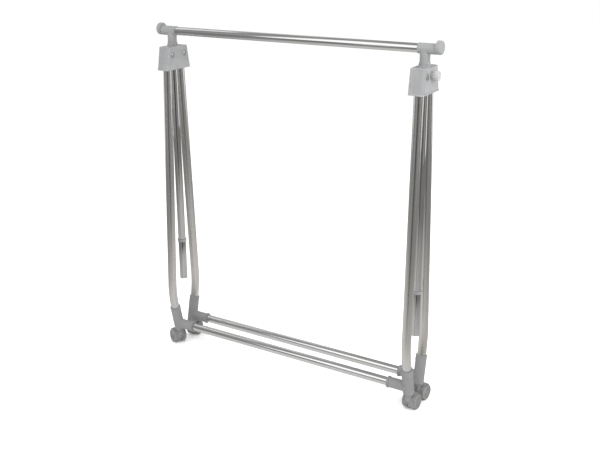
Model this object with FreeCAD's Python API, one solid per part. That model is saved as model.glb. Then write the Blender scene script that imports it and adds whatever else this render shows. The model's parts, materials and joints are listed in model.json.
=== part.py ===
import FreeCAD, Part
import math
import os

# Folding clothes rail on castors, in millimetres.
#
# X runs along the hanging rail, Y from the front frame to the rear frame, and Z is up from the
# floor. The origin is on the floor under the middle of the rail. Both ends are alike: a hinge
# housing carries a front and a rear leg, and a telescopic post that slides down through it.
# Every shape is drawn once, for the right end and the rear frame (positive X and Y), and mirrored.

V = FreeCAD.Vector
ORIGIN = V(0, 0, 0)
X_AXIS = V(1, 0, 0)
Y_AXIS = V(0, 1, 0)
Z_AXIS = V(0, 0, 1)

# ---------------------------------------------------------------- driving dimensions
END_X = 390.0             # centre plane of each end
RAIL_Z = 968.0            # axis of the hanging rail
TUBE_WALL = 1.2           # wall of every steel tube
FIT_GAP = 0.05            # radial gap between pieces of one body
TURN_GAP = 0.06           # radial gap of a pin or screw that turns
SLIDE_GAP = 0.3           # gap between pieces that slide past each other
END_PLAY = 0.5            # room at the end of a turning pin or stem

RAIL_R = 11.5             # hanging rail and bottom rails
POST_R = 11.0             # telescopic posts
LEG_R = 12.5              # legs

# Hinge housing. Local x is measured outwards from the end plane.
HOUSING_TOP = 925.0
HOUSING_BOTTOM = 860.0
HOUSING_TOP_HALF = 40.0
HOUSING_BOTTOM_HALF = 51.2
HOUSING_IN = 20.0         # inner face, towards the middle of the rail
HOUSING_OUT = 20.0        # outer face
HOUSING_WALL = 2.6
HOUSING_SKIRT_WALL = 1.5  # the end walls are thinner, to leave the open legs room
COVER_THICKNESS = 3.0
CORNER_R = 9.0
LIP_HEIGHT = 4.0
LIP_PROUD = 0.8
GUIDE_R = 13.3            # tube inside the housing that guides the post
GUIDE_BOTTOM = 872.0
PIVOT_Y = 26.6
PIVOT_Z = 903.0
PIN_R = 4.0
PIN_HEAD_R = 5.6
PIN_HEAD_HEIGHT = 1.4
PIN_BOSS_R = 7.0
PIN_BOSS_FACE = 13.0      # bosses stop this far from the end plane, just clear of the leg
PIN_RECESS_R = 8.5        # round recess that each pin's head sits in
PIN_RECESS = 1.6

# Collar round the post on top of the housing
COLLAR_R = 15.0
COLLAR_HEIGHT = 6.0
COLLAR_SLOT = 1.6

# Locking knob on the outer face of the housing
KNOB_Z = 904.0
KNOB_LENGTH = 19.0
KNOB_R = 10.6
KNOB_FLANGE_R = 12.2
KNOB_FLANGE = 5.0
KNOB_FLUTES = 12
KNOB_FLUTE_R = 1.6
SCREW_R = 3.0
NUT_ACROSS_FLATS = 10.0
NUT_FROM = 13.4

# T connector, cap and post
TEE_SLEEVE_R = 13.2
TEE_STEM_R = 12.8
TEE_IN = 17.0             # sleeve's inner end, from the end plane
TEE_OUT = 32.0            # sleeve's outer end
TEE_FOOT_R = 14.0
TEE_FOOT_HEIGHT = 4.0
TEE_FILLET = 2.0
RAIL_END = 12.0           # the hanging rail stops this far past the end plane
POST_TOP = 954.0
CAP_R = 17.0
CAP_THICKNESS = 13.0
CAP_RISE = 4.0            # the cap's centre is this far above the rail's axis
POST_BOTTOM = 210.0
RING_Z = 334.0
RING_HALF = 4.3
RING_R = 13.4
TAIL_R = 11.35            # the tube below the stop ring
SPIGOT = 14.0             # reach of the ring's core into each tube

# Legs. The straight part leans out, and the foot of the leg bends back in.
LEG_LEAN = 2.4
FOOT_LEAN = 12.6
BEND_Y = 57.3             # where the two straight runs would meet
BEND_Z = 170.8
BEND_R = 300.0
PLUG_DEPTH = 42.0

# Foot fitting. Distances s run down the foot's axis from the point (BEND_Y, BEND_Z).
RIM_S = 41.8
LEG_END_S = 84.0
RAIL_S = 102.3
FOOT_END_S = 125.8
FOOT_R = 15.3
FOOT_ROUND = 6.5
FOOT_FILLET = 2.5
FOOT_SLEEVE_R = 14.3
FOOT_SLEEVE_END = 60.0    # the sleeve's inner end, from the end plane
FOOT_COLLAR_R = 15.9      # ring round the sleeve's inner end
FOOT_COLLAR = 5.0
FOOT_LIP_R = 15.9         # slim lip round the socket's rim
FOOT_LIP = 2.4
RAIL_SOCKET = 14.0        # the bottom rail stops this far from the end plane
SCREW_S = 56.0
SMALL_SCREW_R = 1.9
SMALL_HEAD_R = 3.4
SMALL_HEAD = 1.8
STEM_R = 3.0
STEM_TOP_Z = 77.0
SEAT_R = 9.5              # level seat under the foot for the castor
SEAT_Z = 45.6
SEAT_TOP_Z = 62.0

# Castor. Local x is the trail, local y the axle and local z the swivel axis, up.
WHEEL_R = 21.5
WHEEL_IN = 3.6            # inner and outer face of each wheel, from the castor's middle
WHEEL_OUT = 19.4
WHEEL_SHOULDER = 2.4
WHEEL_DISH_R = 12.5
WHEEL_DISH = 1.6
HUB_R = 5.0
CASTOR_TRAIL = 17.5
BOSS_R = 9.5
BOSS_HEIGHT = 16.0
WEB_HALF = 3.0
WEB_R = 19.5
HOOD_GAP = 1.0
HOOD_SKIN = 1.6
HOOD_HALF = 15.5
HOOD_SKIRT = 1.5          # the hood ends this far above the axle
AXLE_R = 2.5
AXLE_HALF = 16.0
STEM_IN_HOOD = 8.5

# Heading of each castor's trail, in degrees from +X towards +Y
CASTOR_HEADINGS = {
    ("front", "right"): 85.0,
    ("front", "left"): 155.0,
    ("rear", "right"): 82.0,
    ("rear", "left"): 100.0,
}

SIDES = {"left": -1.0, "right": 1.0}
ROWS = {"front": -1.0, "rear": 1.0}

FOOT_SIN = math.sin(math.radians(FOOT_LEAN))
FOOT_COS = math.cos(math.radians(FOOT_LEAN))
HOOD_TOP_Z = SEAT_Z - SLIDE_GAP
CASTOR_DROP = HOOD_TOP_Z - WHEEL_R  # the axle is this far below the top of the hood
NODES = {}


# ---------------------------------------------------------------- helpers
def rod(radius, start, end):
    """A solid cylinder between two points."""
    along = end - start
    return Part.makeCylinder(radius, along.Length, start, along)


def pipe(outer, inner, start, end):
    """A straight tube between two points."""
    return rod(outer, start, end).cut(rod(inner, start, end))


def fused(shapes):
    """One clean solid from several that overlap."""
    return shapes[0].multiFuse(shapes[1:]).removeSplitter()


def group(shapes):
    """Separate solids that share one node."""
    return Part.makeCompound(shapes)


def placed(shape, side="right", row="rear"):
    """Mirrors a shape drawn for the right end and the rear frame to its own corner."""
    if side == "left":
        shape = shape.mirror(ORIGIN, X_AXIS)
    if row == "front":
        shape = shape.mirror(ORIGIN, Y_AXIS)
    return shape


def rounded(shape, radius, picks):
    """Fillets the edges that the test picks out."""
    edges = [edge for edge in shape.Edges if picks(edge)]
    return shape.makeFillet(radius, edges)


def chamfered(shape, size, picks):
    """Chamfers the edges that the test picks out."""
    edges = [edge for edge in shape.Edges if picks(edge)]
    return shape.makeChamfer(size, edges)


def lies_at(edge, axis, value):
    """True for an edge whose box is flat at one coordinate."""
    low = getattr(edge.BoundBox, axis + "Min")
    high = getattr(edge.BoundBox, axis + "Max")
    return abs(low - value) < 0.01 and abs(high - value) < 0.01


def is_seam_of_curves(edge):
    """True for the curved line where two cylinders cross."""
    return not isinstance(edge.Curve, (Part.Line, Part.Circle))


def foot_point(s, x=END_X):
    """A point on the foot's axis, at distance s below the bend's corner."""
    return V(x, BEND_Y - s * FOOT_SIN, BEND_Z - s * FOOT_COS)


# ---------------------------------------------------------------- hinge housings
def housing_half(z, proud):
    """Half the housing's width in Y at a height."""
    slope = (HOUSING_BOTTOM_HALF - HOUSING_TOP_HALF) / (HOUSING_TOP - HOUSING_BOTTOM)
    return HOUSING_TOP_HALF + slope * (HOUSING_TOP - z) + proud


def housing_block(x_in, x_out, z_bottom, z_top, proud, corner):
    """A block with the housing's flared outline and rounded outer corners."""
    outline = [
        V(x_in, -housing_half(z_bottom, proud), z_bottom),
        V(x_in, housing_half(z_bottom, proud), z_bottom),
        V(x_in, housing_half(z_top, proud), z_top),
        V(x_in, -housing_half(z_top, proud), z_top),
    ]
    outline.append(outline[0])
    block = Part.Face(Part.makePolygon(outline)).extrude(V(x_out - x_in, 0, 0))

    def is_outer_corner(edge):
        return lies_at(edge, "X", x_out) and edge.BoundBox.ZLength > 0.9 * (z_top - z_bottom)

    return rounded(block, corner, is_outer_corner)


def hinge_housing():
    """The outer shell of one hinge: walls, roof, post guide and pin bosses, open below."""
    split = END_X - HOUSING_IN + COVER_THICKNESS
    outer = END_X + HOUSING_OUT
    shell = housing_block(split, outer, HOUSING_BOTTOM, HOUSING_TOP, 0, CORNER_R)
    shell = rounded(shell, 2.2, lambda edge: lies_at(edge, "Z", HOUSING_TOP)
                    and not lies_at(edge, "X", split))
    lip = housing_block(split, outer + LIP_PROUD, HOUSING_BOTTOM, HOUSING_BOTTOM + LIP_HEIGHT,
                        LIP_PROUD, CORNER_R)
    cavity = housing_block(split - 1, outer - HOUSING_WALL, HOUSING_BOTTOM - 1,
                           HOUSING_TOP - HOUSING_WALL, -HOUSING_SKIRT_WALL, CORNER_R - 2)
    post_axis = V(END_X, 0, 0)
    guide = rod(GUIDE_R, post_axis + V(0, 0, GUIDE_BOTTOM), post_axis + V(0, 0, HOUSING_TOP - 1))
    bosses = []
    for y in (-PIVOT_Y, PIVOT_Y):
        start = V(END_X + PIN_BOSS_FACE, y, PIVOT_Z)
        bosses.append(rod(PIN_BOSS_R, start, V(outer - 1, y, PIVOT_Z)))
    body = fused([shell.fuse(lip).cut(cavity), guide] + bosses)
    bore = rod(POST_R + SLIDE_GAP, post_axis + V(0, 0, GUIDE_BOTTOM - 1),
               post_axis + V(0, 0, HOUSING_TOP + 1))
    screw_hole = rod(SCREW_R + SLIDE_GAP, V(END_X, 0, KNOB_Z), V(outer + 2, 0, KNOB_Z))
    pin_holes = []
    for y in (-PIVOT_Y, PIVOT_Y):
        pin_holes.append(rod(PIN_R + FIT_GAP, V(END_X, y, PIVOT_Z), V(outer + 2, y, PIVOT_Z)))
        pin_holes.append(rod(PIN_RECESS_R, V(outer - PIN_RECESS, y, PIVOT_Z), V(outer + 2, y, PIVOT_Z)))
    return body.cut([bore, screw_hole] + pin_holes)


def housing_cover():
    """The flat inner cover that closes the housing, with its own pin bosses."""
    inner = END_X - HOUSING_IN
    plate = housing_block(inner, inner + COVER_THICKNESS, HOUSING_BOTTOM, HOUSING_TOP, 0, 0.4)
    plate = rounded(plate, 1.2, lambda edge: lies_at(edge, "X", inner))
    bosses = []
    holes = []
    for y in (-PIVOT_Y, PIVOT_Y):
        bosses.append(rod(PIN_BOSS_R, V(inner + 1, y, PIVOT_Z), V(END_X - PIN_BOSS_FACE, y, PIVOT_Z)))
        holes.append(rod(PIN_R + FIT_GAP, V(inner - 1, y, PIVOT_Z), V(END_X, y, PIVOT_Z)))
        holes.append(rod(PIN_RECESS_R, V(inner - 1, y, PIVOT_Z), V(inner + PIN_RECESS, y, PIVOT_Z)))
    return fused([plate] + bosses).cut(holes)


def pivot_pins():
    """The two headed pins that the legs turn on, their heads in the round recesses."""
    inner = END_X - HOUSING_IN + PIN_RECESS
    outer = END_X + HOUSING_OUT - PIN_RECESS
    pins = []
    for y in (-PIVOT_Y, PIVOT_Y):
        shank = rod(PIN_R, V(inner, y, PIVOT_Z), V(outer, y, PIVOT_Z))
        inner_head = rod(PIN_HEAD_R, V(inner - PIN_HEAD_HEIGHT, y, PIVOT_Z), V(inner, y, PIVOT_Z))
        outer_head = rod(PIN_HEAD_R, V(outer, y, PIVOT_Z), V(outer + PIN_HEAD_HEIGHT, y, PIVOT_Z))
        pin = fused([shank, inner_head, outer_head])
        pins.append(rounded(pin, 1.0, lambda edge: lies_at(edge, "X", inner - PIN_HEAD_HEIGHT)
                            or lies_at(edge, "X", outer + PIN_HEAD_HEIGHT)))
    return group(pins)


def post_collar():
    """The slotted collar on the housing's roof that the post slides through."""
    base = V(END_X, 0, HOUSING_TOP)
    top = base + V(0, 0, COLLAR_HEIGHT)
    ring = pipe(COLLAR_R, POST_R + SLIDE_GAP, base, top)
    ring = rounded(ring, 1.2, lambda edge: lies_at(edge, "Z", top.z) and edge.Curve.Radius > POST_R + 1)
    slots = []
    for turn in (45, 135):
        slot = Part.makeBox(2 * COLLAR_R + 2, COLLAR_SLOT, COLLAR_HEIGHT)
        slot.translate(V(-COLLAR_R - 1, -COLLAR_SLOT / 2, 0))
        slot.rotate(ORIGIN, Z_AXIS, turn)
        slot.translate(base + V(0, 0, 2.2))
        slots.append(slot)
    return ring.cut(slots)


def clamp_nut():
    """The hexagonal nut behind the outer wall that the locking screw turns in."""
    across_corners = NUT_ACROSS_FLATS / math.cos(math.radians(30))
    corners = []
    for index in range(7):
        angle = math.radians(60 * index)
        corners.append(V(END_X + NUT_FROM, across_corners / 2 * math.sin(angle),
                         KNOB_Z + across_corners / 2 * math.cos(angle)))
    thickness = HOUSING_OUT - HOUSING_WALL - NUT_FROM
    nut = Part.Face(Part.makePolygon(corners)).extrude(V(thickness, 0, 0))
    return nut.cut(rod(SCREW_R + TURN_GAP, V(END_X, 0, KNOB_Z), V(END_X + 40, 0, KNOB_Z)))


# ---------------------------------------------------------------- locking knobs
def lock_knob():
    """The fluted knob that tightens the clamp screw."""
    base = END_X + HOUSING_OUT + 0.4
    tip = base + KNOB_LENGTH
    body = rod(KNOB_R, V(base, 0, KNOB_Z), V(tip, 0, KNOB_Z))
    flange = rod(KNOB_FLANGE_R, V(tip - KNOB_FLANGE, 0, KNOB_Z), V(tip, 0, KNOB_Z))
    knob = fused([body, flange])
    knob = rounded(knob, 1.4, lambda edge: lies_at(edge, "X", tip) or lies_at(edge, "X", tip - KNOB_FLANGE)
                   and edge.Curve.Radius > KNOB_R + 1)
    flutes = []
    for index in range(KNOB_FLUTES):
        angle = 2 * math.pi * index / KNOB_FLUTES
        reach = KNOB_FLANGE_R + 0.5 * KNOB_FLUTE_R
        centre = V(0, reach * math.sin(angle), KNOB_Z + reach * math.cos(angle))
        flutes.append(rod(KNOB_FLUTE_R, centre + V(tip - KNOB_FLANGE - 1, 0, 0), centre + V(tip + 1, 0, 0)))
    hole = rod(SCREW_R + FIT_GAP, V(base - 1, 0, KNOB_Z), V(base + 12, 0, KNOB_Z))
    return knob.cut(flutes + [hole])


def lock_screw():
    """The screw that presses on the post, fixed in the knob."""
    start = END_X + POST_R + SLIDE_GAP + 0.1
    screw = rod(SCREW_R, V(start, 0, KNOB_Z), V(END_X + HOUSING_OUT + 12, 0, KNOB_Z))
    return chamfered(screw, 0.6, lambda edge: lies_at(edge, "X", start))


# ---------------------------------------------------------------- hanging rail and posts
def hanging_rail():
    """The long tube that clothes hang on."""
    end = END_X + RAIL_END
    return pipe(RAIL_R, RAIL_R - TUBE_WALL, V(-end, 0, RAIL_Z), V(end, 0, RAIL_Z))


def rail_tee():
    """The T connector that joins the hanging rail to the post."""
    sleeve = rod(TEE_SLEEVE_R, V(END_X - TEE_IN, 0, RAIL_Z), V(END_X + TEE_OUT, 0, RAIL_Z))
    foot_z = HOUSING_TOP + COLLAR_HEIGHT + SLIDE_GAP
    stem = rod(TEE_STEM_R, V(END_X, 0, foot_z), V(END_X, 0, RAIL_Z))
    foot = rod(TEE_FOOT_R, V(END_X, 0, foot_z), V(END_X, 0, foot_z + TEE_FOOT_HEIGHT))
    body = fused([sleeve, stem])
    body = rounded(body, TEE_FILLET, is_seam_of_curves)
    body = body.fuse(foot).removeSplitter()
    ends = (END_X - TEE_IN, END_X + TEE_OUT)
    body = rounded(body, 0.8, lambda edge: lies_at(edge, "X", ends[0]) or lies_at(edge, "X", ends[1])
                   or lies_at(edge, "Z", foot_z + TEE_FOOT_HEIGHT) and edge.Curve.Radius > TEE_STEM_R + 0.5)
    rail_bore = rod(RAIL_R + FIT_GAP, V(END_X - TEE_IN - 1, 0, RAIL_Z), V(END_X + TEE_OUT + 1, 0, RAIL_Z))
    post_bore = rod(POST_R + FIT_GAP, V(END_X, 0, foot_z - 1), V(END_X, 0, POST_TOP))
    screw_hole = rod(SMALL_SCREW_R + FIT_GAP, V(END_X, 0, tee_screw_z()), V(END_X, 20, tee_screw_z()))
    return body.cut([rail_bore, post_bore, screw_hole])


def tee_screw_z():
    """Height of the small screw through the T connector's stem."""
    return 0.5 * (HOUSING_TOP + COLLAR_HEIGHT + TEE_FOOT_HEIGHT + POST_TOP)


def tee_screw():
    """A small screw from the rear that holds the post in the T connector."""
    z = tee_screw_z()
    shank = rod(SMALL_SCREW_R, V(END_X, POST_R - TUBE_WALL - 1, z), V(END_X, TEE_STEM_R, z))
    head = rod(SMALL_HEAD_R, V(END_X, TEE_STEM_R, z), V(END_X, TEE_STEM_R + SMALL_HEAD, z))
    screw = fused([shank, head])
    return rounded(screw, 0.9, lambda edge: lies_at(edge, "Y", TEE_STEM_R + SMALL_HEAD))


def rail_cap():
    """The end cap: a disc that stands higher than the sleeve, and a plug inside it."""
    start = END_X + TEE_OUT
    end = start + CAP_THICKNESS
    centre_z = RAIL_Z + CAP_RISE
    disc = rod(CAP_R, V(start, 0, centre_z), V(end, 0, centre_z))
    disc = rounded(disc, 4.5, lambda edge: lies_at(edge, "X", end))
    disc = rounded(disc, 1.2, lambda edge: lies_at(edge, "X", start))
    plug = rod(RAIL_R, V(END_X + RAIL_END, 0, RAIL_Z), V(start + 1, 0, RAIL_Z))
    return fused([disc, plug])


def post():
    """The chrome post, from the T connector down to the stop ring."""
    return pipe(POST_R, POST_R - TUBE_WALL, V(END_X, 0, RING_Z + 1), V(END_X, 0, POST_TOP)).cut(
        rod(SMALL_SCREW_R + FIT_GAP, V(END_X, 0, tee_screw_z()), V(END_X, 20, tee_screw_z())))


def post_tail():
    """The slightly wider tube below the stop ring, open at the bottom."""
    return pipe(TAIL_R, TAIL_R - TUBE_WALL, V(END_X, 0, POST_BOTTOM), V(END_X, 0, RING_Z - 1))


def stop_ring():
    """The ring that joins post and tail, and stops the post under the housing."""
    low = V(END_X, 0, RING_Z - RING_HALF)
    high = V(END_X, 0, RING_Z + RING_HALF)
    ring = rod(RING_R, low, high)
    ring = rounded(ring, 1.0, lambda edge: lies_at(edge, "Z", low.z) or lies_at(edge, "Z", high.z))
    above = pipe(POST_R + FIT_GAP, POST_R - TUBE_WALL - FIT_GAP, V(END_X, 0, RING_Z + 1),
                 high + V(0, 0, 1))
    below = pipe(TAIL_R + FIT_GAP, TAIL_R - TUBE_WALL - FIT_GAP, low - V(0, 0, 1),
                 V(END_X, 0, RING_Z - 1))
    core_above = rod(POST_R - TUBE_WALL - FIT_GAP, V(END_X, 0, RING_Z), V(END_X, 0, RING_Z + SPIGOT))
    core_below = rod(TAIL_R - TUBE_WALL - FIT_GAP, V(END_X, 0, RING_Z - SPIGOT), V(END_X, 0, RING_Z))
    return fused([ring.cut([above, below]), core_above, core_below])


# ---------------------------------------------------------------- leg frames
def leg_solid(radius, bottom_s):
    """A bent rod along the leg's centreline, from above the pivot down into the foot."""
    lean = math.radians(LEG_LEAN)
    corner = V(END_X, BEND_Y, BEND_Z)
    up = V(0, -math.sin(lean), math.cos(lean))
    down = V(0, -FOOT_SIN, -FOOT_COS)
    half_turn = math.radians(LEG_LEAN + FOOT_LEAN) / 2
    tangent = BEND_R * math.tan(half_turn)
    arc_start = corner + up * tangent
    arc_end = corner + down * tangent
    towards_centre = (up + down).normalize()
    middle = corner + towards_centre * (BEND_R / math.cos(half_turn) - BEND_R)
    top = corner + up * ((PIVOT_Z + LEG_R - BEND_Z) / up.z)
    bottom = foot_point(bottom_s)
    path = Part.Wire([
        Part.LineSegment(top, arc_start).toShape(),
        Part.Arc(arc_start, middle, arc_end).toShape(),
        Part.LineSegment(arc_end, bottom).toShape(),
    ])
    ring = Part.Wire(Part.makeCircle(radius, top, up * -1))
    return path.makePipeShell([ring], True, False)


def leg_envelope():
    """Everything below the pivot and a round end about it, to cut a leg's top round."""
    pivot = V(END_X, PIVOT_Y, PIVOT_Z)
    across = V(LEG_R + 5, 0, 0)
    round_end = rod(LEG_R, pivot - across, pivot + across)
    below = Part.makeBox(60, 120, PIVOT_Z, V(END_X - 30, -20, 0))
    return round_end.fuse(below)


def pin_hole():
    """The hole through a leg for its pivot pin."""
    return rod(PIN_R + TURN_GAP, V(END_X - 30, PIVOT_Y, PIVOT_Z), V(END_X + 30, PIVOT_Y, PIVOT_Z))


def leg():
    """A chrome leg: a bent tube with a rounded, drilled top."""
    tube = leg_solid(LEG_R, LEG_END_S).cut(leg_solid(LEG_R - TUBE_WALL, LEG_END_S + 1))
    return tube.common(leg_envelope()).cut([pin_hole(), foot_screw_hole()])


def leg_plug():
    """The plastic plug inside the leg's top that bears on the pivot pin."""
    bore = leg_solid(LEG_R - TUBE_WALL - FIT_GAP, LEG_END_S)
    top_only = Part.makeBox(60, 120, 100, V(END_X - 30, -20, PIVOT_Z - PLUG_DEPTH))
    return bore.common(leg_envelope()).common(top_only).cut(pin_hole())


def foot_screw_hole():
    """The hole for the small screw on the inner side of a foot fitting."""
    start = foot_point(SCREW_S)
    return rod(SMALL_SCREW_R + FIT_GAP, start - V(FOOT_R + 5, 0, 0), start)


def foot_screw():
    """A small screw that holds the leg in the foot fitting."""
    axis_point = foot_point(SCREW_S)
    surface = axis_point - V(FOOT_R, 0, 0)
    shank = rod(SMALL_SCREW_R, surface, axis_point - V(LEG_R - TUBE_WALL - 1, 0, 0))
    head = rod(SMALL_HEAD_R, surface - V(SMALL_HEAD, 0, 0), surface)
    return rounded(fused([shank, head]), 0.9, lambda edge: lies_at(edge, "X", surface.x - SMALL_HEAD))


def foot_fitting():
    """The corner moulding: a leaning socket for the leg, and a level sleeve for the rail."""
    end = foot_point(FOOT_END_S)
    socket = rod(FOOT_R, foot_point(RIM_S), end)
    socket = rounded(socket, FOOT_ROUND, lambda edge: edge.BoundBox.ZMax < end.z + 6)
    rail = foot_point(RAIL_S)
    sleeve_end = rail - V(FOOT_SLEEVE_END, 0, 0)
    sleeve = rod(FOOT_SLEEVE_R, rail, sleeve_end)
    body = fused([socket, sleeve])
    body = rounded(body, FOOT_FILLET, is_seam_of_curves)
    collar = rod(FOOT_COLLAR_R, sleeve_end, sleeve_end + V(FOOT_COLLAR, 0, 0))
    collar = rounded(collar, 1.0, lambda edge: isinstance(edge.Curve, Part.Circle))
    lip = rod(FOOT_LIP_R, foot_point(RIM_S), foot_point(RIM_S + FOOT_LIP))
    lip = rounded(lip, 0.5, lambda edge: isinstance(edge.Curve, Part.Circle))
    seat = rod(SEAT_R, V(end.x, end.y, SEAT_Z), V(end.x, end.y, SEAT_TOP_Z))
    body = body.multiFuse([collar, lip, seat]).removeSplitter()
    leg_bore = rod(LEG_R + FIT_GAP, foot_point(RIM_S - 5), foot_point(LEG_END_S))
    rail_bore = rod(RAIL_R + FIT_GAP, sleeve_end - V(1, 0, 0), rail - V(RAIL_SOCKET, 0, 0))
    stem_bore = rod(STEM_R + FIT_GAP, V(end.x, end.y, SEAT_Z - 5), V(end.x, end.y, STEM_TOP_Z))
    return body.cut([leg_bore, rail_bore, stem_bore, foot_screw_hole()])


def bottom_rail():
    """The tube between the two foot fittings of one frame."""
    centre = foot_point(RAIL_S)
    reach = END_X - RAIL_SOCKET
    return pipe(RAIL_R, RAIL_R - TUBE_WALL, V(-reach, centre.y, centre.z), V(reach, centre.y, centre.z))


# ---------------------------------------------------------------- castors
def castor_place(row, side):
    """Placement of a castor's own axes: trail x, axle y, swivel axis z."""
    foot_end = foot_point(FOOT_END_S)
    top = V(SIDES[side] * END_X, ROWS[row] * foot_end.y, HOOD_TOP_Z)
    return FreeCAD.Placement(top, FreeCAD.Rotation(Z_AXIS, CASTOR_HEADINGS[(row, side)]))


def in_castor(shape, placement):
    """Moves a shape drawn in a castor's own axes to its place."""
    moved = shape.copy()
    moved.Placement = placement.multiply(moved.Placement)
    return moved


def axle_centre():
    """The wheel axle's middle in the castor's own axes."""
    return V(CASTOR_TRAIL, 0, -CASTOR_DROP)


def castor_hood():
    """The castor's body: a swivel boss, a web between the wheels and a fender over them."""
    centre = axle_centre()
    boss = rod(BOSS_R, V(0, 0, -BOSS_HEIGHT), ORIGIN)
    boss = rounded(boss, 1.2, lambda edge: lies_at(edge, "Z", 0))
    fender_r = WHEEL_R + HOOD_GAP + HOOD_SKIN
    fender = rod(fender_r, centre - V(0, HOOD_HALF, 0), centre + V(0, HOOD_HALF, 0))
    fender = rounded(fender, 1.4, lambda edge: isinstance(edge.Curve, Part.Circle))
    upper = Part.makeBox(100, 100, 60, V(-40, -50, centre.z + HOOD_SKIRT))
    fender = fender.common(upper)
    wheel_room = []
    for sign in (-1, 1):
        wheel_room.append(rod(WHEEL_R + HOOD_GAP, centre + V(0, sign * (WHEEL_IN - END_PLAY), 0),
                              centre + V(0, sign * 40, 0)))
    web = rod(WEB_R, centre - V(0, WEB_HALF, 0), centre + V(0, WEB_HALF, 0))
    body = fused([boss, fender, web]).cut(wheel_room)
    axle_hole = rod(AXLE_R + FIT_GAP, centre - V(0, 30, 0), centre + V(0, 30, 0))
    stem_hole = rod(STEM_R + TURN_GAP, V(0, 0, -STEM_IN_HOOD), V(0, 0, 1))
    return body.cut([axle_hole, stem_hole])


def castor_axle():
    """The pin that both wheels turn on, fixed in the web."""
    centre = axle_centre()
    pin = rod(AXLE_R, centre - V(0, AXLE_HALF, 0), centre + V(0, AXLE_HALF, 0))
    return chamfered(pin, 0.5, lambda edge: isinstance(edge.Curve, Part.Circle))


def castor_wheel(sign):
    """One of a castor's two wheels: a rounded outer shoulder and a dished face with a hub."""
    centre = axle_centre()
    inner = centre + V(0, sign * WHEEL_IN, 0)
    outer = centre + V(0, sign * WHEEL_OUT, 0)
    wheel = rod(WHEEL_R, inner, outer)
    wheel = rounded(wheel, WHEEL_SHOULDER, lambda edge: lies_at(edge, "Y", outer.y))
    wheel = rounded(wheel, 0.8, lambda edge: lies_at(edge, "Y", inner.y))
    dish = rod(WHEEL_DISH_R, outer - V(0, sign * WHEEL_DISH, 0), outer + V(0, sign, 0))
    hub = rod(HUB_R, outer - V(0, sign * 2 * WHEEL_DISH, 0), outer - V(0, sign * 0.5, 0))
    bore = rod(AXLE_R + TURN_GAP, centre, centre + V(0, sign * (AXLE_HALF + END_PLAY), 0))
    return wheel.cut(dish).fuse(hub).removeSplitter().cut(bore)


def castor_stem():
    """The steel stem fixed in the foot, down into the castor's hood."""
    foot_end = foot_point(FOOT_END_S)
    bottom = V(foot_end.x, foot_end.y, HOOD_TOP_Z - STEM_IN_HOOD + END_PLAY)
    stem = rod(STEM_R, bottom, V(foot_end.x, foot_end.y, STEM_TOP_Z - FIT_GAP))
    return chamfered(stem, 0.6, lambda edge: isinstance(edge.Curve, Part.Circle))


# ---------------------------------------------------------------- assembly
def build():
    """Fills NODES with every named piece in its place."""
    for side in SIDES:
        NODES["hinge_housing_" + side] = placed(hinge_housing(), side)
        NODES["housing_cover_" + side] = placed(housing_cover(), side)
        NODES["pivot_pins_" + side] = placed(pivot_pins(), side)
        NODES["post_collar_" + side] = placed(post_collar(), side)
        NODES["clamp_nut_" + side] = placed(clamp_nut(), side)
        NODES["lock_knob_" + side] = placed(lock_knob(), side)
        NODES["lock_screw_" + side] = placed(lock_screw(), side)
        NODES["rail_tee_" + side] = placed(rail_tee(), side)
        NODES["rail_cap_" + side] = placed(rail_cap(), side)
        NODES["post_" + side] = placed(post(), side)
        NODES["post_tail_" + side] = placed(post_tail(), side)
        NODES["stop_ring_" + side] = placed(stop_ring(), side)
    NODES["hanging_rail"] = hanging_rail()
    NODES["tee_screws"] = group([placed(tee_screw(), side) for side in SIDES])
    for row in ROWS:
        for side in SIDES:
            corner = row + "_" + side
            NODES["leg_" + corner] = placed(leg(), side, row)
            NODES["leg_plug_" + corner] = placed(leg_plug(), side, row)
            NODES["foot_" + corner] = placed(foot_fitting(), side, row)
            placement = castor_place(row, side)
            NODES["castor_hood_" + corner] = in_castor(castor_hood(), placement)
            NODES["castor_axle_" + corner] = in_castor(castor_axle(), placement)
            NODES["castor_wheel_a_" + corner] = in_castor(castor_wheel(-1), placement)
            NODES["castor_wheel_b_" + corner] = in_castor(castor_wheel(1), placement)
        NODES["bottom_rail_" + row] = placed(bottom_rail(), "right", row)
        NODES["foot_screws_" + row] = group([placed(foot_screw(), side, row) for side in SIDES])
        NODES["castor_stems_" + row] = group([placed(castor_stem(), side, row) for side in SIDES])


build()
os.makedirs("parts", exist_ok=True)
for name, shape in NODES.items():
    shape.exportStep("parts/" + name + ".step")
print(len(NODES), "nodes")
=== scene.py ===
import json
import math

import bmesh
import bpy
from mathutils import Matrix, Vector


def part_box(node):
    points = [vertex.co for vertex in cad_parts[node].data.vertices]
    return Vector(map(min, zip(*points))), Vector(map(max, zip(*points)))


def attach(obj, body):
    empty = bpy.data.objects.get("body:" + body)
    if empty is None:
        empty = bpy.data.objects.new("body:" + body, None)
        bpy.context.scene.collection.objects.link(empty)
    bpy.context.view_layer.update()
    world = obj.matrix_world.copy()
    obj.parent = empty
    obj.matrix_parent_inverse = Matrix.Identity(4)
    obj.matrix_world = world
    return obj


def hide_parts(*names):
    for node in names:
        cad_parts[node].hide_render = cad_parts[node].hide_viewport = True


# Folding clothes rail: the looks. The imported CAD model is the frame; metres, +Z up.
# Small turned and moulded pieces are built here in place of their plain CAD nodes.

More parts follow.
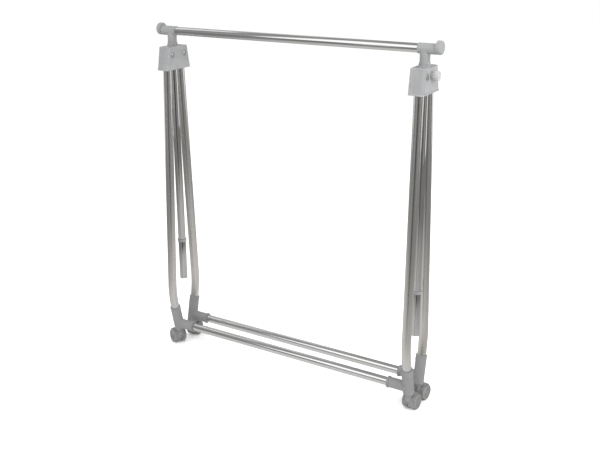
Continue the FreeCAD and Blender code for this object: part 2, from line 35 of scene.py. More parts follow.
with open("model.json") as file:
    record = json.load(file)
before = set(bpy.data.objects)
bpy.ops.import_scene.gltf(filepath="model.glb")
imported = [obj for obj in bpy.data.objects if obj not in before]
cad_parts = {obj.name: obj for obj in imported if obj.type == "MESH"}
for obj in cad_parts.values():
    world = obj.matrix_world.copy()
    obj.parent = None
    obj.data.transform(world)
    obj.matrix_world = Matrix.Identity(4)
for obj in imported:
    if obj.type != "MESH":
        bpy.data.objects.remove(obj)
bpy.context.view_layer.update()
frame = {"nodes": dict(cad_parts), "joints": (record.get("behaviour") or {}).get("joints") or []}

SIDES = {"left": -1.0, "right": 1.0}
ROWS = ("front", "rear")
CORNERS = [row + "_" + side for row in ROWS for side in SIDES]
MM = 0.001
JOINTS = {joint["name"]: joint for joint in frame["joints"]}


# ---------------------------------------------------------------- measuring the frame
def span_along(node, origin, axis):
    """Lowest and highest distance along an axis, and the largest radius about it, of a node."""
    distances = []
    radius = 0.0
    for vertex in frame["nodes"][node].data.vertices:
        offset = vertex.co - origin
        distance = offset.dot(axis)
        distances.append(distance)
        radius = max(radius, (offset - axis * distance).length)
    return min(distances), max(distances), radius


def middle(node):
    """The middle of a node's box."""
    low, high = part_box(node)
    return (low + high) / 2


# ---------------------------------------------------------------- mesh helpers
def facing(origin, axis):
    """A matrix whose Z axis is the given axis, standing at the origin point."""
    turn = axis.normalized().to_track_quat("Z", "Y").to_matrix().to_4x4()
    return Matrix.Translation(origin) @ turn


def finish_mesh(name, mesh_data, place, material, body, stands_for, sharp=35):
    """Turns a bmesh into a piece that rides on its body and stands for its CAD nodes.

    Edges that turn by more degrees than sharp stay sharp.
    """
    bmesh.ops.recalc_face_normals(mesh_data, faces=mesh_data.faces)
    mesh = bpy.data.meshes.new(name)
    mesh_data.to_mesh(mesh)
    mesh_data.free()
    mesh.transform(place)
    mesh.polygons.foreach_set("use_smooth", [True] * len(mesh.polygons))
    mesh.set_sharp_from_angle(angle=math.radians(sharp))
    mesh.materials.append(material)
    piece = bpy.data.objects.new(name, mesh)
    bpy.context.scene.collection.objects.link(piece)
    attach(piece, body)
    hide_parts(*stands_for)


def round_corner(centre_r, centre_z, radius, start, end, steps):
    """Points of an arc in a turned profile, angles in degrees from +r towards +z."""
    points = []
    for step in range(steps + 1):
        angle = math.radians(start + (end - start) * step / steps)
        points.append((centre_r + radius * math.cos(angle), centre_z + radius * math.sin(angle)))
    return points


ON_AXIS = 1e-7               # a profile point nearer the axis than this is a single vertex


def turned(profile, segments, ripple=None):
    """A bmesh turned about Z from (radius, height) points; ripple gives what is added to a radius."""
    mesh_data = bmesh.new()
    rings = []
    for radius, height in profile:
        if radius < ON_AXIS:
            rings.append([mesh_data.verts.new((0, 0, height))])
            continue
        ring = []
        for index in range(segments):
            angle = 2 * math.pi * index / segments
            reach = radius + (ripple(angle, radius, height) if ripple else 0)
            ring.append(mesh_data.verts.new((reach * math.cos(angle), reach * math.sin(angle), height)))
        rings.append(ring)
    for lower, upper in zip(rings, rings[1:]):
        for index in range(segments):
            after = (index + 1) % segments
            corners = [lower[index % len(lower)], lower[after % len(lower)],
                       upper[after % len(upper)], upper[index % len(upper)]]
            unique = []
            for corner in corners:
                if corner not in unique:
                    unique.append(corner)
            if len(unique) > 2:
                mesh_data.faces.new(unique)
    return mesh_data


def join_bmesh(target, other, place):
    """Copies one bmesh into another, moved by a matrix."""
    mesh = bpy.data.meshes.new("join")
    other.to_mesh(mesh)
    other.free()
    mesh.transform(place)
    target.from_mesh(mesh)
    bpy.data.meshes.remove(mesh)


# ---------------------------------------------------------------- materials
class Look:
    """A material's node tree, with short ways to add the nodes that every material here uses.

    Noise scales are per metre, in the object's own coordinates.
    """

    def __init__(self, name):
        self.material = bpy.data.materials.new(name)
        self.material.use_nodes = True
        self.nodes = self.material.node_tree.nodes
        self.links = self.material.node_tree.links
        self.shader = self.nodes["Principled BSDF"]
        self.coordinates = self.nodes.new("ShaderNodeTexCoord").outputs["Object"]

    def link(self, source, target):
        self.links.new(source, target)

    def noise(self, scale, detail=3, roughness=0.5, stretch=(1, 1, 1)):
        """A noise's factor. Stretch scales the coordinates along each axis."""
        mapping = self.nodes.new("ShaderNodeMapping")
        mapping.inputs["Scale"].default_value = stretch
        self.link(self.coordinates, mapping.inputs["Vector"])
        noise = self.nodes.new("ShaderNodeTexNoise")
        noise.inputs["Scale"].default_value = scale
        noise.inputs["Detail"].default_value = detail
        noise.inputs["Roughness"].default_value = roughness
        self.link(mapping.outputs["Vector"], noise.inputs["Vector"])
        return noise.outputs["Fac"]

    def spots(self, scale, low, high):
        """Small round spots: 1 in a spot's middle and 0 outside it."""
        cells = self.nodes.new("ShaderNodeTexVoronoi")
        cells.inputs["Scale"].default_value = scale
        self.link(self.coordinates, cells.inputs["Vector"])
        return self.ranged(cells.outputs["Distance"], low, high, 1, 0)

    def ranged(self, value, low, high, to_low, to_high):
        """Maps a value from one range to another, clamped."""
        node = self.nodes.new("ShaderNodeMapRange")
        node.inputs["From Min"].default_value = low
        node.inputs["From Max"].default_value = high
        node.inputs["To Min"].default_value = to_low
        node.inputs["To Max"].default_value = to_high
        self.link(value, node.inputs["Value"])
        return node.outputs["Result"]

    def blend(self, factor, first, second):
        """Mixes two colours; each is a colour or another node's output."""
        mix = self.nodes.new("ShaderNodeMix")
        mix.data_type = "RGBA"
        self.link(factor, mix.inputs["Factor"])
        for value, socket in ((first, mix.inputs[6]), (second, mix.inputs[7])):
            if isinstance(value, tuple):
                socket.default_value = (*value, 1)
            else:
                self.link(value, socket)
        return mix.outputs[2]

    def math(self, operation, first, second):
        """A maths node on two values; each is a number or another node's output."""
        node = self.nodes.new("ShaderNodeMath")
        node.operation = operation
        for value, socket in ((first, node.inputs[0]), (second, node.inputs[1])):
            if isinstance(value, (int, float)):
                socket.default_value = value
            else:
                self.link(value, socket)
        if operation == "WRAP":  # wraps between -second and second
            node.inputs[2].default_value = -second
        return node.outputs[0]

    def separate(self):
        """The object coordinates as separate X, Y and Z."""
        parts = self.nodes.new("ShaderNodeSeparateXYZ")
        self.link(self.coordinates, parts.inputs["Vector"])
        return parts

    def off_compass(self, compass):
        """Angle in radians away from a compass direction, given in degrees from -Y towards +X."""
        parts = self.separate()
        angle = self.math("ARCTAN2", parts.outputs["X"], self.math("MULTIPLY", parts.outputs["Y"], -1))
        away = self.math("WRAP", self.math("SUBTRACT", angle, math.radians(compass)), math.pi)
        return self.math("ABSOLUTE", away, 0)

    def edges(self):
        """1 along sharp convex edges, 0 on flat faces."""
        pointiness = self.nodes.new("ShaderNodeNewGeometry").outputs["Pointiness"]
        return self.ranged(pointiness, 0.52, 0.62, 0, 1)

    def bumps(self, *layers):
        """Chains bump nodes from (height, distance in metres, strength) layers into the shader."""
        last = None
        for height, distance, strength in layers:
            bump = self.nodes.new("ShaderNodeBump")
            bump.inputs["Distance"].default_value = distance
            bump.inputs["Strength"].default_value = strength
            self.link(height, bump.inputs["Height"])
            if last:
                self.link(last, bump.inputs["Normal"])
            last = bump.outputs["Normal"]
        self.link(last, self.shader.inputs["Normal"])


DRAWN_STRETCH = 0.012        # scale of the drawing lines' noise along the tube, against 1 across it


def chrome(name, colour, along, smooth=0.07):
    """Chrome plate on drawn tube: fine lines along the tube, smudges, and a few pinpricks."""
    look = Look(name)
    stretch = tuple(DRAWN_STRETCH if axis == along else 1 for axis in "XYZ")
    lines = look.noise(900, 2, 0.6, stretch)
    smudges = look.noise(9, 5, 0.62)
    haze = look.noise(46, 3, 0.5)
    pits = look.spots(170, 0.035, 0.09)
    cloud = look.ranged(smudges, 0.42, 0.7, 0, 1)
    darker = tuple(0.86 * channel for channel in colour)
    warmer = (colour[0], 0.985 * colour[1], 0.955 * colour[2])
    tinted = look.blend(cloud, colour, warmer)
    look.link(look.blend(look.math("MULTIPLY", pits, 0.7), tinted, darker), look.shader.inputs["Base Color"])
    rough = look.ranged(lines, 0.3, 0.7, smooth - 0.015, smooth + 0.02)
    rough = look.math("ADD", rough, look.math("MULTIPLY", cloud, 0.05))
    rough = look.math("ADD", rough, look.math("MULTIPLY", look.ranged(haze, 0.55, 0.8, 0, 1), 0.04))
    look.link(rough, look.shader.inputs["Roughness"])
    look.shader.inputs["Metallic"].default_value = 1
    look.bumps((lines, 0.00002, 0.16), (haze, 0.0002, 0.03), (pits, -0.00004, 0.3))
    return look.material


PLASTIC_IOR = 1.49


def moulding(name, colour, rough, grain=2600, depth=0.1):
    """Moulded plastic with a fine spark-eroded grain, mottling, flow marks, and sharp edges painted lighter
    as an edge highlight and as rubbed wear.
    """
    look = Look(name)
    fine = look.noise(grain, 2, 0.6)
    mottle = look.noise(55, 5, 0.6)
    flow = look.noise(14, 3, 0.5, (1, 1, 0.35))
    edge = look.edges()
    dark = tuple(0.95 * channel for channel in colour)
    pale = tuple(min(1, 1.045 * channel) for channel in colour)
    # Edge colour: a painted edge highlight together with rubbed wear.
    highlit_rubbed_colour = tuple(min(1, 1.30 * channel) for channel in colour)
    base = look.blend(look.ranged(mottle, 0.3, 0.72, 0, 1), dark, pale)
    base = look.blend(look.math("MULTIPLY", look.ranged(flow, 0.5, 0.75, 0, 1), 0.35), base, pale)
    # Sharp convex edges get the painted edge highlight and rubbed wear, patchy by the mottling.
    edge_highlight_and_wear = look.math("MULTIPLY", edge, look.ranged(mottle, 0.35, 0.6, 0.25, 0.8))
    look.link(look.blend(edge_highlight_and_wear, base, highlit_rubbed_colour), look.shader.inputs["Base Color"])
    roughness = look.ranged(mottle, 0.3, 0.7, rough - 0.05, rough + 0.07)
    roughness = look.math("SUBTRACT", roughness, look.math("MULTIPLY", edge_highlight_and_wear, 0.12))
    look.link(roughness, look.shader.inputs["Roughness"])
    look.shader.inputs["IOR"].default_value = PLASTIC_IOR
    look.bumps((fine, 0.00006, depth), (flow, 0.0006, 0.05))
    return look.material


def tread(name, colour):
    """The castors' tyre plastic: scuffed, with patches of dust."""
    look = Look(name)
    fine = look.noise(1900, 3, 0.65)
    scuffs = look.noise(130, 6, 0.7)
    dust = look.noise(38, 4, 0.6)
    dark = tuple(0.80 * channel for channel in colour)
    dusty = (min(1, 1.45 * colour[0]), min(1, 1.41 * colour[1]), min(1, 1.33 * colour[2]))
    base = look.blend(look.ranged(scuffs, 0.38, 0.66, 0, 1), dark, colour)
    powder = look.math("MULTIPLY", look.ranged(dust, 0.48, 0.72, 0, 1), 0.45)
    look.link(look.blend(powder, base, dusty), look.shader.inputs["Base Color"])
    look.link(look.ranged(scuffs, 0.3, 0.7, 0.5, 0.72), look.shader.inputs["Roughness"])
    look.bumps((fine, 0.00008, 0.2), (scuffs, 0.0002, 0.12))
    return look.material


def plated_steel(name, colour):
    """Zinc-plated fasteners: brushed lines, a faint yellow bloom and dull patches."""
    look = Look(name)
    lines = look.noise(1500, 2, 0.5, (1, 0.05, 1))
    bloom = look.noise(120, 4, 0.6)
    warm = (colour[0], 0.95 * colour[1], 0.84 * colour[2])
    dull = tuple(0.72 * channel for channel in colour)
    base = look.blend(look.ranged(bloom, 0.45, 0.7, 0, 0.6), colour, warm)
    base = look.blend(look.ranged(lines, 0.5, 0.8, 0, 0.5), base, dull)
    look.link(base, look.shader.inputs["Base Color"])
    look.link(look.ranged(bloom, 0.3, 0.7, 0.2, 0.38), look.shader.inputs["Roughness"])
    look.shader.inputs["Metallic"].default_value = 1
    look.bumps((lines, 0.00003, 0.25), (bloom, 0.0001, 0.1))
    return look.material


rail_chrome = chrome("rail_chrome", (0.86, 0.865, 0.87), "X")
leg_chrome = chrome("leg_chrome", (0.90, 0.885, 0.865), "Z", 0.22)
post_chrome = chrome("post_chrome", (0.74, 0.745, 0.75), "Z", 0.045)
# One grey moulding in two copies: the upper pieces are painted lighter as lit, and the feet are painted
# darker with painted shade because they stand low and get less light.
lit_upper_plastic = moulding("lit_upper_plastic", (0.222, 0.224, 0.227), 0.38)
shaded_foot_plastic = moulding("shaded_foot_plastic", (0.185, 0.186, 0.188), 0.42)
knob_plastic = moulding("knob_plastic", (0.36, 0.36, 0.363), 0.38, 2200)
castor_plastic = moulding("castor_plastic", (0.175, 0.176, 0.178), 0.40, 3000, 0.06)
tyre_plastic = tread("tyre_plastic", (0.19, 0.19, 0.188))
plug_plastic = moulding("plug_plastic", (0.05, 0.05, 0.052), 0.5)
steel = plated_steel("steel", (0.72, 0.72, 0.73))

LOOKS = {
    "hanging_rail": rail_chrome, "bottom_rail": rail_chrome, "leg_plug": plug_plastic, "leg_": leg_chrome,
    "post_collar": lit_upper_plastic, "post_": post_chrome, "castor_hood": castor_plastic,
    "castor_wheel": tyre_plastic, "castor_axle": steel, "castor_stems": steel, "lock_knob": knob_plastic,
    "lock_screw": steel, "clamp_nut": steel, "pivot_pins": steel, "tee_screws": steel,
    "foot_screws": steel, "foot_": shaded_foot_plastic, "rail_tee": lit_upper_plastic, "rail_cap": lit_upper_plastic,
    "stop_ring": lit_upper_plastic, "hinge_housing": lit_upper_plastic, "housing_cover": lit_upper_plastic,
}


def dress_nodes():
    """Gives every CAD node its material: the first name in LOOKS that it starts with."""
    for name, node in frame["nodes"].items():
        look = next(value for key, value in LOOKS.items() if name.startswith(key))
        node.data.materials.clear()
        node.data.materials.append(look)


# ---------------------------------------------------------------- straight tubes
TUBE_WALL = 1.2 * MM
TUBE_LIP = 0.35 * MM         # rounding of a cut tube end
TUBE_SEGMENTS = 128
TUBE_SHARP = 60
LIP_STEPS = 3


def straight_tube(node, axis, material, body):
    """A round tube in place of a CAD one, with softly rounded cut ends."""
    origin = middle(node)
    low, high, radius = span_along(node, origin, axis)
    inner = radius - TUBE_WALL
    outer_mid = radius - TUBE_LIP
    inner_mid = inner + TUBE_LIP
    profile = [(inner, low + TUBE_LIP)]
    profile += round_corner(inner_mid, low + TUBE_LIP, TUBE_LIP, 180, 270, LIP_STEPS)
    profile += round_corner(outer_mid, low + TUBE_LIP, TUBE_LIP, 270, 360, LIP_STEPS)
    profile += round_corner(outer_mid, high - TUBE_LIP, TUBE_LIP, 0, 90, LIP_STEPS)
    profile += round_corner(inner_mid, high - TUBE_LIP, TUBE_LIP, 90, 180, LIP_STEPS)
    profile.append(profile[0])
    finish_mesh("tube_" + node, turned(profile, TUBE_SEGMENTS), facing(origin, axis), material, body,
                [node], TUBE_SHARP)


def straight_tubes():
    """The rails and the posts."""
    along_x = Vector((1, 0, 0))
    upright = Vector((0, 0, 1))
    straight_tube("hanging_rail", along_x, rail_chrome, "rail_assembly")
    for row in ROWS:
        straight_tube("bottom_rail_" + row, along_x, rail_chrome, row + "_frame")
    for side in SIDES:
        straight_tube("post_" + side, upright, post_chrome, "rail_assembly")
        straight_tube("post_tail_" + side, upright, post_chrome, "rail_assembly")


# ---------------------------------------------------------------- fasteners
SCREW_SLOT = 0.62            # the recess reaches this share of the head's radius
SCREW_SLOT_HALF = 0.4 * MM
SCREW_RECESS = 1.1 * MM
SCREW_HEAD = 1.8 * MM
HEAD_RINGS = 14
HEAD_SEGMENTS = 72
HEAD_RIM = 0.18              # height of the head's upright rim, as a share of the head
SHANK_SEGMENTS = 32
SHANK_TIP = 0.5              # the shank's radius at its tip and above it, as shares of the head's radius
SHANK_FULL = 0.55
SHANK_TIP_HEIGHT = 0.4 * MM
RECESS_FROM = 0.4            # points above this share of the head's height are pushed in


def cross_head(head_radius, head_height):
    """A domed screw head with a cross recess, its seat at z = 0."""
    profile = [(head_radius, 0)]
    for step in range(1, HEAD_RINGS + 1):
        angle = step / HEAD_RINGS * math.pi / 2
        profile.append((head_radius * math.cos(angle),
                        head_height * (HEAD_RIM + (1 - HEAD_RIM) * math.sin(angle))))
    profile[-1] = (0, head_height)
    head = turned(profile, HEAD_SEGMENTS)
    for vertex in head.verts:
        reach = max(abs(vertex.co.x), abs(vertex.co.y))
        across = min(abs(vertex.co.x), abs(vertex.co.y))
        in_cross = reach < SCREW_SLOT * head_radius and across < SCREW_SLOT_HALF
        if in_cross and vertex.co.z > RECESS_FROM * head_height:
            vertex.co.z -= SCREW_RECESS * (1 - reach / head_radius)
    return head


def screws(name, node, axis_of, body):
    """Cross-head screws in place of a node that holds one for each end of the stand."""
    mesh_data = bmesh.new()
    vertices = frame["nodes"][node].data.vertices
    for sign in SIDES.values():
        own = [vertex.co for vertex in vertices if vertex.co.x * sign > 0]
        low = Vector([min(point[k] for point in own) for k in range(3)])
        high = Vector([max(point[k] for point in own) for k in range(3)])
        axis = axis_of(sign)
        centre = (low + high) / 2
        reach = abs((high - low).dot(axis))
        radius = 0.5 * (high - low).z
        tip = centre + axis * (reach / 2)
        join_bmesh(mesh_data, cross_head(radius, SCREW_HEAD), facing(tip - axis * SCREW_HEAD, axis))
        shank_r = SHANK_FULL * radius
        shank = turned([(0, 0), (SHANK_TIP * radius, 0), (shank_r, SHANK_TIP_HEIGHT),
                        (shank_r, reach - SCREW_HEAD), (0, reach - SCREW_HEAD)], SHANK_SEGMENTS)
        join_bmesh(mesh_data, shank, facing(centre - axis * (reach / 2), axis))
    finish_mesh(name, mesh_data, Matrix.Identity(4), steel, body, [node])


PIN_SHANK_R = 4.0 * MM
PIN_HEAD = 1.4 * MM          # washer and dome together
PIN_DOME = 0.8 * MM
WASHER_ROUND = 0.3 * MM
WASHER_BORE = 0.72           # shares of the washer's radius
DOME_SEAT = 0.84
DOME_R = 0.80
DOME_STEPS = 6
PIN_SEGMENTS = 48


def pivot_rivet(side):
    """Riveted pins with a washer under each domed head, in place of the plain CAD pins."""
    mesh_data = bmesh.new()
    node = "pivot_pins_" + side
    low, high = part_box(node)
    half = (high.x - low.x) / 2
    head_r = (high.z - low.z) / 2
    shank_end = half - PIN_HEAD
    dome_from = half - PIN_DOME
    for row in ROWS:
        pin = JOINTS[row + "_frame_fold"]["pos_m"]
        centre = Vector(((low.x + high.x) / 2, pin[1], pin[2]))
        for sign in (-1, 1):
            profile = [(WASHER_BORE * head_r, shank_end), (head_r, shank_end)]
            profile += round_corner(head_r - WASHER_ROUND, shank_end + WASHER_ROUND, WASHER_ROUND, -20, 90, 4)
            profile += [(DOME_SEAT * head_r, dome_from)]
            for step in range(1, DOME_STEPS + 1):
                angle = math.radians(90 * step / DOME_STEPS)
                profile.append((DOME_R * head_r * math.cos(angle), dome_from + PIN_DOME * math.sin(angle)))
            profile[-1] = (0, half)
            join_bmesh(mesh_data, turned(profile, PIN_SEGMENTS), facing(centre, Vector((sign, 0, 0))))
        shank = turned([(0, -shank_end), (PIN_SHANK_R, -shank_end), (PIN_SHANK_R, shank_end),
                        (0, shank_end)], PIN_SEGMENTS)
        join_bmesh(mesh_data, shank, facing(centre, Vector((1, 0, 0))))
    finish_mesh("pivot_rivets_" + side, mesh_data, Matrix.Identity(4), steel, "housings", [node])


# ---------------------------------------------------------------- locking knobs
KNOB_RIBS = 18
KNOB_RIB_DEPTH = 0.9 * MM
KNOB_RIB_FROM = 0.86         # ribs are cut only outside this share of the knob's radius
KNOB_RIB_POWER = 1.5         # above 1 the ribs' crests are wider than the valleys between them
POINTS_PER_RIB = 12
KNOB_HOLE = 0.35             # radii of the screw's hole and of the neck, as shares of the knob's
KNOB_NECK = 0.80
KNOB_NECK_LENGTH = 0.30      # as a share of the knob's length
NECK_ROUND = 0.5 * MM
# The grip swells along part of a sine wave, and is slimmer than the knob by up to this share
GRIP_SLIM = 0.07
SWELL_FROM = 0.15
SWELL_SPAN = 0.75
GRIP_ROUND = 1.4 * MM
GRIP_STEPS = 12
KNOB_SHARP = 50
# The dished face: share of the knob's radius, and depth below the knob's end
KNOB_FACE = ((0.72, 0), (0.68, 0.2 * MM), (0.62, 0.8 * MM), (0.30, 0.9 * MM), (0.26, 0.6 * MM),
             (0, 0.5 * MM))


def lock_knob(side):
    """A knob with a slim neck, a ribbed and slightly swollen grip, and a shallow dished face."""
    node = "lock_knob_" + side
    axis = Vector((SIDES[side], 0, 0))
    pivot = Vector(JOINTS["lock_knob_turn_" + side]["pos_m"])
    low, high, radius = span_along(node, pivot, axis)
    neck = KNOB_NECK * radius
    grip_from = low + KNOB_NECK_LENGTH * (high - low)
    grip_to = high - GRIP_ROUND
    profile = [(KNOB_HOLE * radius, low), (neck - NECK_ROUND, low)]
    profile += round_corner(neck - NECK_ROUND, low + NECK_ROUND, NECK_ROUND, -90, 0, 4)
    profile += [(neck, grip_from - 1.0 * MM), (neck + 0.4 * MM, grip_from - 0.3 * MM)]
    for step in range(GRIP_STEPS + 1):
        share = step / GRIP_STEPS
        swell = 1 - GRIP_SLIM + GRIP_SLIM * math.sin(math.pi * (SWELL_FROM + SWELL_SPAN * share))
        profile.append((radius * swell, grip_from + (grip_to - grip_from) * share))
    edge_r = profile[-1][0]
    profile += round_corner(edge_r - GRIP_ROUND, grip_to, GRIP_ROUND, 8, 90, 5)
    profile += [(share * radius, high - depth) for share, depth in KNOB_FACE]

    def ribs(angle, ring_radius, height):
        if ring_radius < KNOB_RIB_FROM * radius or height < grip_from:
            return 0
        wave = math.cos(KNOB_RIBS * angle)
        return -KNOB_RIB_DEPTH * (0.5 - 0.5 * wave) ** KNOB_RIB_POWER

    knob = turned(profile, POINTS_PER_RIB * KNOB_RIBS, ribs)
    finish_mesh("knob_" + side, knob, facing(pivot, axis), knob_plastic, "knob_" + side, [node],
                KNOB_SHARP)


# ---------------------------------------------------------------- castors
WHEEL_BORE = 2.56 * MM       # radius, just clear of the axle
WHEEL_SHOULDER = 2.4 * MM
WHEEL_INNER_ROUND = 0.8 * MM
GROOVE_AT = 0.45             # place of the tyre's groove, as a share of the wheel's width
GROOVE_HALF = 0.45 * MM
GROOVE_DEPTH = 0.35 * MM
RIM_SHARE = 0.62             # the dish starts at this share of the wheel's radius
DISH_DEPTH = 1.6 * MM
HUB_R = 6.2 * MM             # foot of the hub cap
CAP_R = 5.7 * MM
CAP_BELOW = 0.7 * MM         # the cap's edge is this far below the wheel's face
CAP_ROUND = 0.6 * MM
CAP_ROUND_R = 4.9 * MM       # the centre of the cap's rounding, from the axle and below the face
CAP_ROUND_BELOW = 0.8 * MM
CAP_FLAT_R = 3.0 * MM
SPOKES = 6
SPOKE_RISE = 0.9 * MM
SPOKE_FROM = 0.72            # a spoke is where the cosine wave round the disc is above this
WHEEL_SEGMENTS = 96
WHEEL_SHARP = 40


def castor_wheel(corner, letter):
    """A tyre with a groove, and a dished disc with low spokes and a round hub cap."""
    node = "castor_wheel_" + letter + "_" + corner
    joint = JOINTS["roll_" + letter + "_" + corner]
    centre = Vector(joint["pos_m"])
    axis = Vector(joint["axis"])
    low, high, radius = span_along(node, centre, axis)
    if abs(low) > abs(high):
        axis = -axis
        low, high = -high, -low
    inner_r = radius - WHEEL_INNER_ROUND
    profile = [(WHEEL_BORE, low), (inner_r, low)]
    profile += round_corner(inner_r, low + WHEEL_INNER_ROUND, WHEEL_INNER_ROUND, -90, 0, 4)
    groove = low + GROOVE_AT * (high - low)
    profile += [(radius, groove - GROOVE_HALF), (radius - GROOVE_DEPTH, groove),
                (radius, groove + GROOVE_HALF)]
    profile += round_corner(radius - WHEEL_SHOULDER, high - WHEEL_SHOULDER, WHEEL_SHOULDER, 0, 90, 10)
    rim = RIM_SHARE * radius
    floor = high - DISH_DEPTH
    profile += [(rim + 0.5 * MM, high), (rim + 0.1 * MM, high - 0.15 * MM), (rim - 0.2 * MM, high - 0.5 * MM)]
    profile += [(rim - 0.5 * MM, floor)]
    profile += [(rim - share * (rim - HUB_R), floor) for share in (0.25, 0.5, 0.75)]
    profile += [(HUB_R, floor), (CAP_R, high - CAP_BELOW)]
    profile += round_corner(CAP_ROUND_R, high - CAP_ROUND_BELOW, CAP_ROUND, 0, 90, 4)
    profile += [(CAP_FLAT_R, high - 0.05 * MM), (0, high)]

    wheel = turned(profile, WHEEL_SEGMENTS)
    for vertex in wheel.verts:
        reach = math.hypot(vertex.co.x, vertex.co.y)
        on_disc = HUB_R + 0.2 * MM < reach < rim - 0.6 * MM
        if on_disc and vertex.co.z > floor - 0.1 * MM:
            wave = math.cos(SPOKES * math.atan2(vertex.co.y, vertex.co.x))
            vertex.co.z += SPOKE_RISE * max(0, wave - SPOKE_FROM) / (1 - SPOKE_FROM)
    finish_mesh("wheel_" + letter + "_" + corner, wheel, facing(centre, axis), tyre_plastic,
                "wheel_" + letter + "_" + corner, [node], WHEEL_SHARP)


# ---------------------------------------------------------------- stage
ROOM_RADIUS = 3.2            # the room that the chrome mirrors, round the stand
ROOM_HEIGHT = 6.5
DARK_BAND_TOP = 1.30         # below this the walls are darker, as behind a studio's lights
WALL_GREY = 0.30
BAND_GREY = 0.20
BAND_SOFT = 0.04             # half the height over which the walls change brightness
STRIP_SOFT = 0.03            # the same at a strip's ends, and the most in radians at its sides
ROOM_SEGMENTS = 128
# Upright strips on the walls: compass angle in degrees from -Y towards +X, width, lowest and
# highest point, brightness
WALL_STRIPS = (
    (-2, 74, 1.30, 6.2, 1.15),
    (30, 28, 0.0, 1.30, 0.05),
    (-12, 9, 0.0, 1.30, 0.40),
    (84, 10, 0.0, 1.30, 0.50),
    (104, 6, 0.0, 6.5, 0.06),
    (142, 44, 0.0, 4.5, 0.90),
    (-172, 6, 0.0, 6.5, 0.06),
    (-140, 24, 0.5, 5.0, 0.60),
    (-92, 44, 0.0, 4.5, 0.80),
    (-66, 5, 0.0, 6.5, 0.05),
)
FLOOR_NEAR = (0.40, 0.58)    # radius and brightness of the mirrored floor, near the stand and far out
FLOOR_FAR = (1.6, 0.21)
STREAK_COMPASS = 32          # a dark streak on the mirrored floor, under the dark wall strip
STREAK_HALF = 12             # degrees
STREAK_FROM = 0.95           # the streak fades in about this radius
STREAK_SOFT = 0.3
STREAK_DEPTH = 0.72          # share of the brightness that the streak takes away
FLOOR_LIFT = 0.2 * MM
FLOOR_SEGMENTS = 96
WHITE = (1, 1, 1, 1)
WARM_WHITE = (1, 0.99, 0.975, 1)


def place_mesh(name, mesh_data):
    """Puts a bmesh into the scene as an object."""
    mesh = bpy.data.meshes.new(name)
    mesh_data.to_mesh(mesh)
    mesh_data.free()
    thing = bpy.data.objects.new(name, mesh)
    bpy.context.scene.collection.objects.link(thing)
    return thing


def mirrored_only(thing):
    """Hides a stage piece from the camera and from soft light, so that only gloss shows it."""
    thing.visible_camera = False
    thing.visible_diffuse = False
    thing.visible_transmission = False
    thing.visible_shadow = False


def glow(look, strength, colour):
    """Makes a look shine in a colour, with a brightness that a node gives, and nothing else."""
    look.shader.inputs["Base Color"].default_value = (0, 0, 0, 1)
    look.shader.inputs["Roughness"].default_value = 1
    look.shader.inputs["Specular IOR Level"].default_value = 0
    look.shader.inputs["Emission Color"].default_value = colour
    look.link(strength, look.shader.inputs["Emission Strength"])


def mirrored_room():
    """Walls and a ceiling that only the chrome and the gloss see, with bright and dark strips."""
    wall = bmesh.new()
    bmesh.ops.create_cone(wall, segments=ROOM_SEGMENTS, radius1=ROOM_RADIUS, radius2=ROOM_RADIUS,
                          depth=ROOM_HEIGHT, cap_ends=True,
                          matrix=Matrix.Translation((0, 0, ROOM_HEIGHT / 2)))
    bottom = [face for face in wall.faces if face.normal.z < -0.5]
    bmesh.ops.delete(wall, geom=bottom, context="FACES")
    room = place_mesh("mirrored_room", wall)
    look = Look("mirrored_room")
    height = look.separate().outputs["Z"]
    low_band = look.ranged(height, DARK_BAND_TOP - BAND_SOFT, DARK_BAND_TOP + BAND_SOFT, BAND_GREY, WALL_GREY)
    bright = look.math("MULTIPLY", low_band, look.ranged(look.noise(1.3, 3), 0.3, 0.7, 0.75, 1.3))
    for compass, width, bottom_z, top_z, level in WALL_STRIPS:
        away = look.off_compass(compass)
        half = math.radians(width / 2)
        soft = min(STRIP_SOFT, half * 0.5)
        inside = look.ranged(away, half - soft, half + soft, 1, 0)
        above = look.ranged(height, bottom_z - STRIP_SOFT, bottom_z + STRIP_SOFT, 0, 1)
        below = look.ranged(height, top_z - STRIP_SOFT, top_z + STRIP_SOFT, 1, 0)
        inside = look.math("MULTIPLY", look.math("MULTIPLY", inside, above), below)
        kept = look.math("MULTIPLY", bright, look.math("SUBTRACT", 1, inside))
        bright = look.math("ADD", kept, look.math("MULTIPLY", inside, level))
    glow(look, bright, WHITE)
    room.data.materials.append(look.material)
    mirrored_only(room)


def mirrored_floor():
    """The floor as the chrome sees it: a little warm, pale near the stand and darker far out."""
    disc = bmesh.new()
    bmesh.ops.create_circle(disc, cap_ends=True, segments=FLOOR_SEGMENTS, radius=ROOM_RADIUS,
                            matrix=Matrix.Translation((0, 0, FLOOR_LIFT)))
    floor = place_mesh("mirrored_floor", disc)
    look = Look("mirrored_floor")
    distance = look.nodes.new("ShaderNodeVectorMath")
    distance.operation = "LENGTH"
    look.link(look.coordinates, distance.inputs[0])
    far = distance.outputs["Value"]
    level = look.ranged(far, FLOOR_NEAR[0], FLOOR_FAR[0], FLOOR_NEAR[1], FLOOR_FAR[1])
    away = look.off_compass(STREAK_COMPASS)
    half = math.radians(STREAK_HALF)
    streak = look.math("MULTIPLY", look.ranged(away, half * 0.5, half * 1.5, STREAK_DEPTH, 0),
                       look.ranged(far, STREAK_FROM - STREAK_SOFT, STREAK_FROM + STREAK_SOFT, 0, 1))
    level = look.math("MULTIPLY", level, look.math("SUBTRACT", 1, streak))
    level = look.math("MULTIPLY", level, look.ranged(look.noise(2.5, 2), 0.3, 0.7, 0.92, 1.08))
    glow(look, level, WARM_WHITE)
    floor.data.materials.append(look.material)
    mirrored_only(floor)


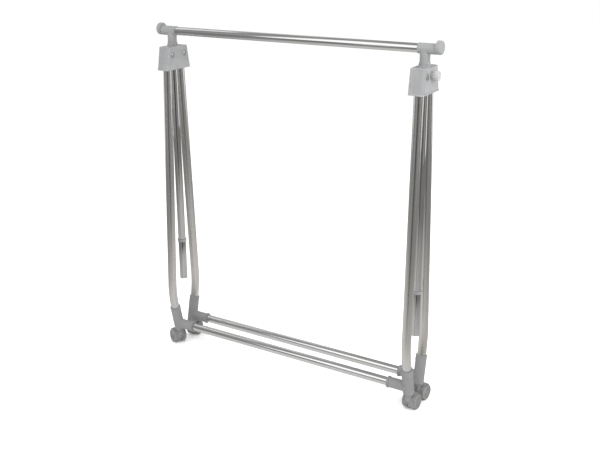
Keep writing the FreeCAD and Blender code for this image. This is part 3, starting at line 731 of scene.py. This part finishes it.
def softbox(name, centre, look_at, width, height, power):
    """A rectangular area light that gloss doesn't mirror."""
    light = bpy.data.lights.new(name, "AREA")
    light.shape = "RECTANGLE"
    light.size = width
    light.size_y = height
    light.energy = power
    lamp = bpy.data.objects.new(name, light)
    lamp.location = centre
    lamp.visible_glossy = False
    lamp.rotation_euler = (Vector(look_at) - Vector(centre)).to_track_quat("-Z", "Y").to_euler()
    bpy.context.scene.collection.objects.link(lamp)


STUDIO_RADIUS = 30


def studio_floor():
    """A wide, pale, faintly mottled floor."""
    bpy.ops.mesh.primitive_circle_add(vertices=FLOOR_SEGMENTS, radius=STUDIO_RADIUS, fill_type="NGON")
    floor = bpy.context.object
    floor.name = "studio_floor"
    look = Look("studio_floor")
    patches = look.noise(3, 3)
    look.link(look.blend(patches, (0.93, 0.93, 0.93), (0.96, 0.96, 0.96)), look.shader.inputs["Base Color"])
    look.shader.inputs["Roughness"].default_value = 0.9
    look.shader.inputs["Specular IOR Level"].default_value = 0.1
    floor.data.materials.append(look.material)


WORLD_STRENGTH = 1.08
# Name, centre, point it looks at, width, height, power in watts
SOFTBOXES = (
    ("key", (-0.9, -2.4, 2.3), (0, 0, 0.6), 1.4, 1.4, 36),
    ("side", (1.7, -0.5, 1.5), (0.4, 0, 0.9), 0.8, 1.0, 25),
    ("top", (0, 0.6, 3.0), (0, 0, 0), 2.4, 1.4, 26),
)


def studio_light():
    """White surroundings and three soft lights."""
    world = bpy.data.worlds.new("studio")
    bpy.context.scene.world = world
    world.use_nodes = True
    background = world.node_tree.nodes["Background"]
    background.inputs["Color"].default_value = WHITE
    background.inputs["Strength"].default_value = WORLD_STRENGTH
    for box in SOFTBOXES:
        softbox(*box)


# ---------------------------------------------------------------- camera
CAMERA_AT = (1.227, -1.954, 1.256)  # metres
CAMERA_YAW = 31.4            # degrees, from +Y towards -X
CAMERA_PITCH = 16.9          # degrees, down
CAMERA_ROLL = -0.4
CAMERA_FOCUS = 872 / 600     # focal length as a share of the picture's width
CAMERA_SHIFT = -0.06         # the picture is framed a little below the lens's axis
SENSOR = 36                  # mm


def make_camera():
    """The camera near the photographed viewing angle."""
    camera_data = bpy.data.cameras.new("camera")
    camera_data.sensor_width = SENSOR
    camera_data.lens = SENSOR * CAMERA_FOCUS
    camera_data.shift_y = CAMERA_SHIFT
    camera = bpy.data.objects.new("camera", camera_data)
    bpy.context.scene.collection.objects.link(camera)
    turn = Matrix.Rotation(math.radians(CAMERA_YAW), 4, "Z")
    tilt = Matrix.Rotation(math.radians(90 - CAMERA_PITCH), 4, "X")
    roll = Matrix.Rotation(math.radians(CAMERA_ROLL), 4, "Z")
    camera.matrix_world = Matrix.Translation(CAMERA_AT) @ turn @ tilt @ roll
    bpy.context.scene.camera = camera


# ---------------------------------------------------------------- everything
dress_nodes()
straight_tubes()
for side_name in SIDES:
    pivot_rivet(side_name)
    lock_knob(side_name)
for row_name in ROWS:
    screws("foot_screw_heads_" + row_name, "foot_screws_" + row_name,
           lambda sign: Vector((-sign, 0, 0)), row_name + "_frame")
screws("tee_screw_heads", "tee_screws", lambda sign: Vector((0, 1, 0)), "rail_assembly")
for corner_name in CORNERS:
    for wheel_letter in ("a", "b"):
        castor_wheel(corner_name, wheel_letter)
studio_floor()
studio_light()
mirrored_room()
mirrored_floor()
make_camera()
bpy.context.scene.view_settings.view_transform = "Standard"
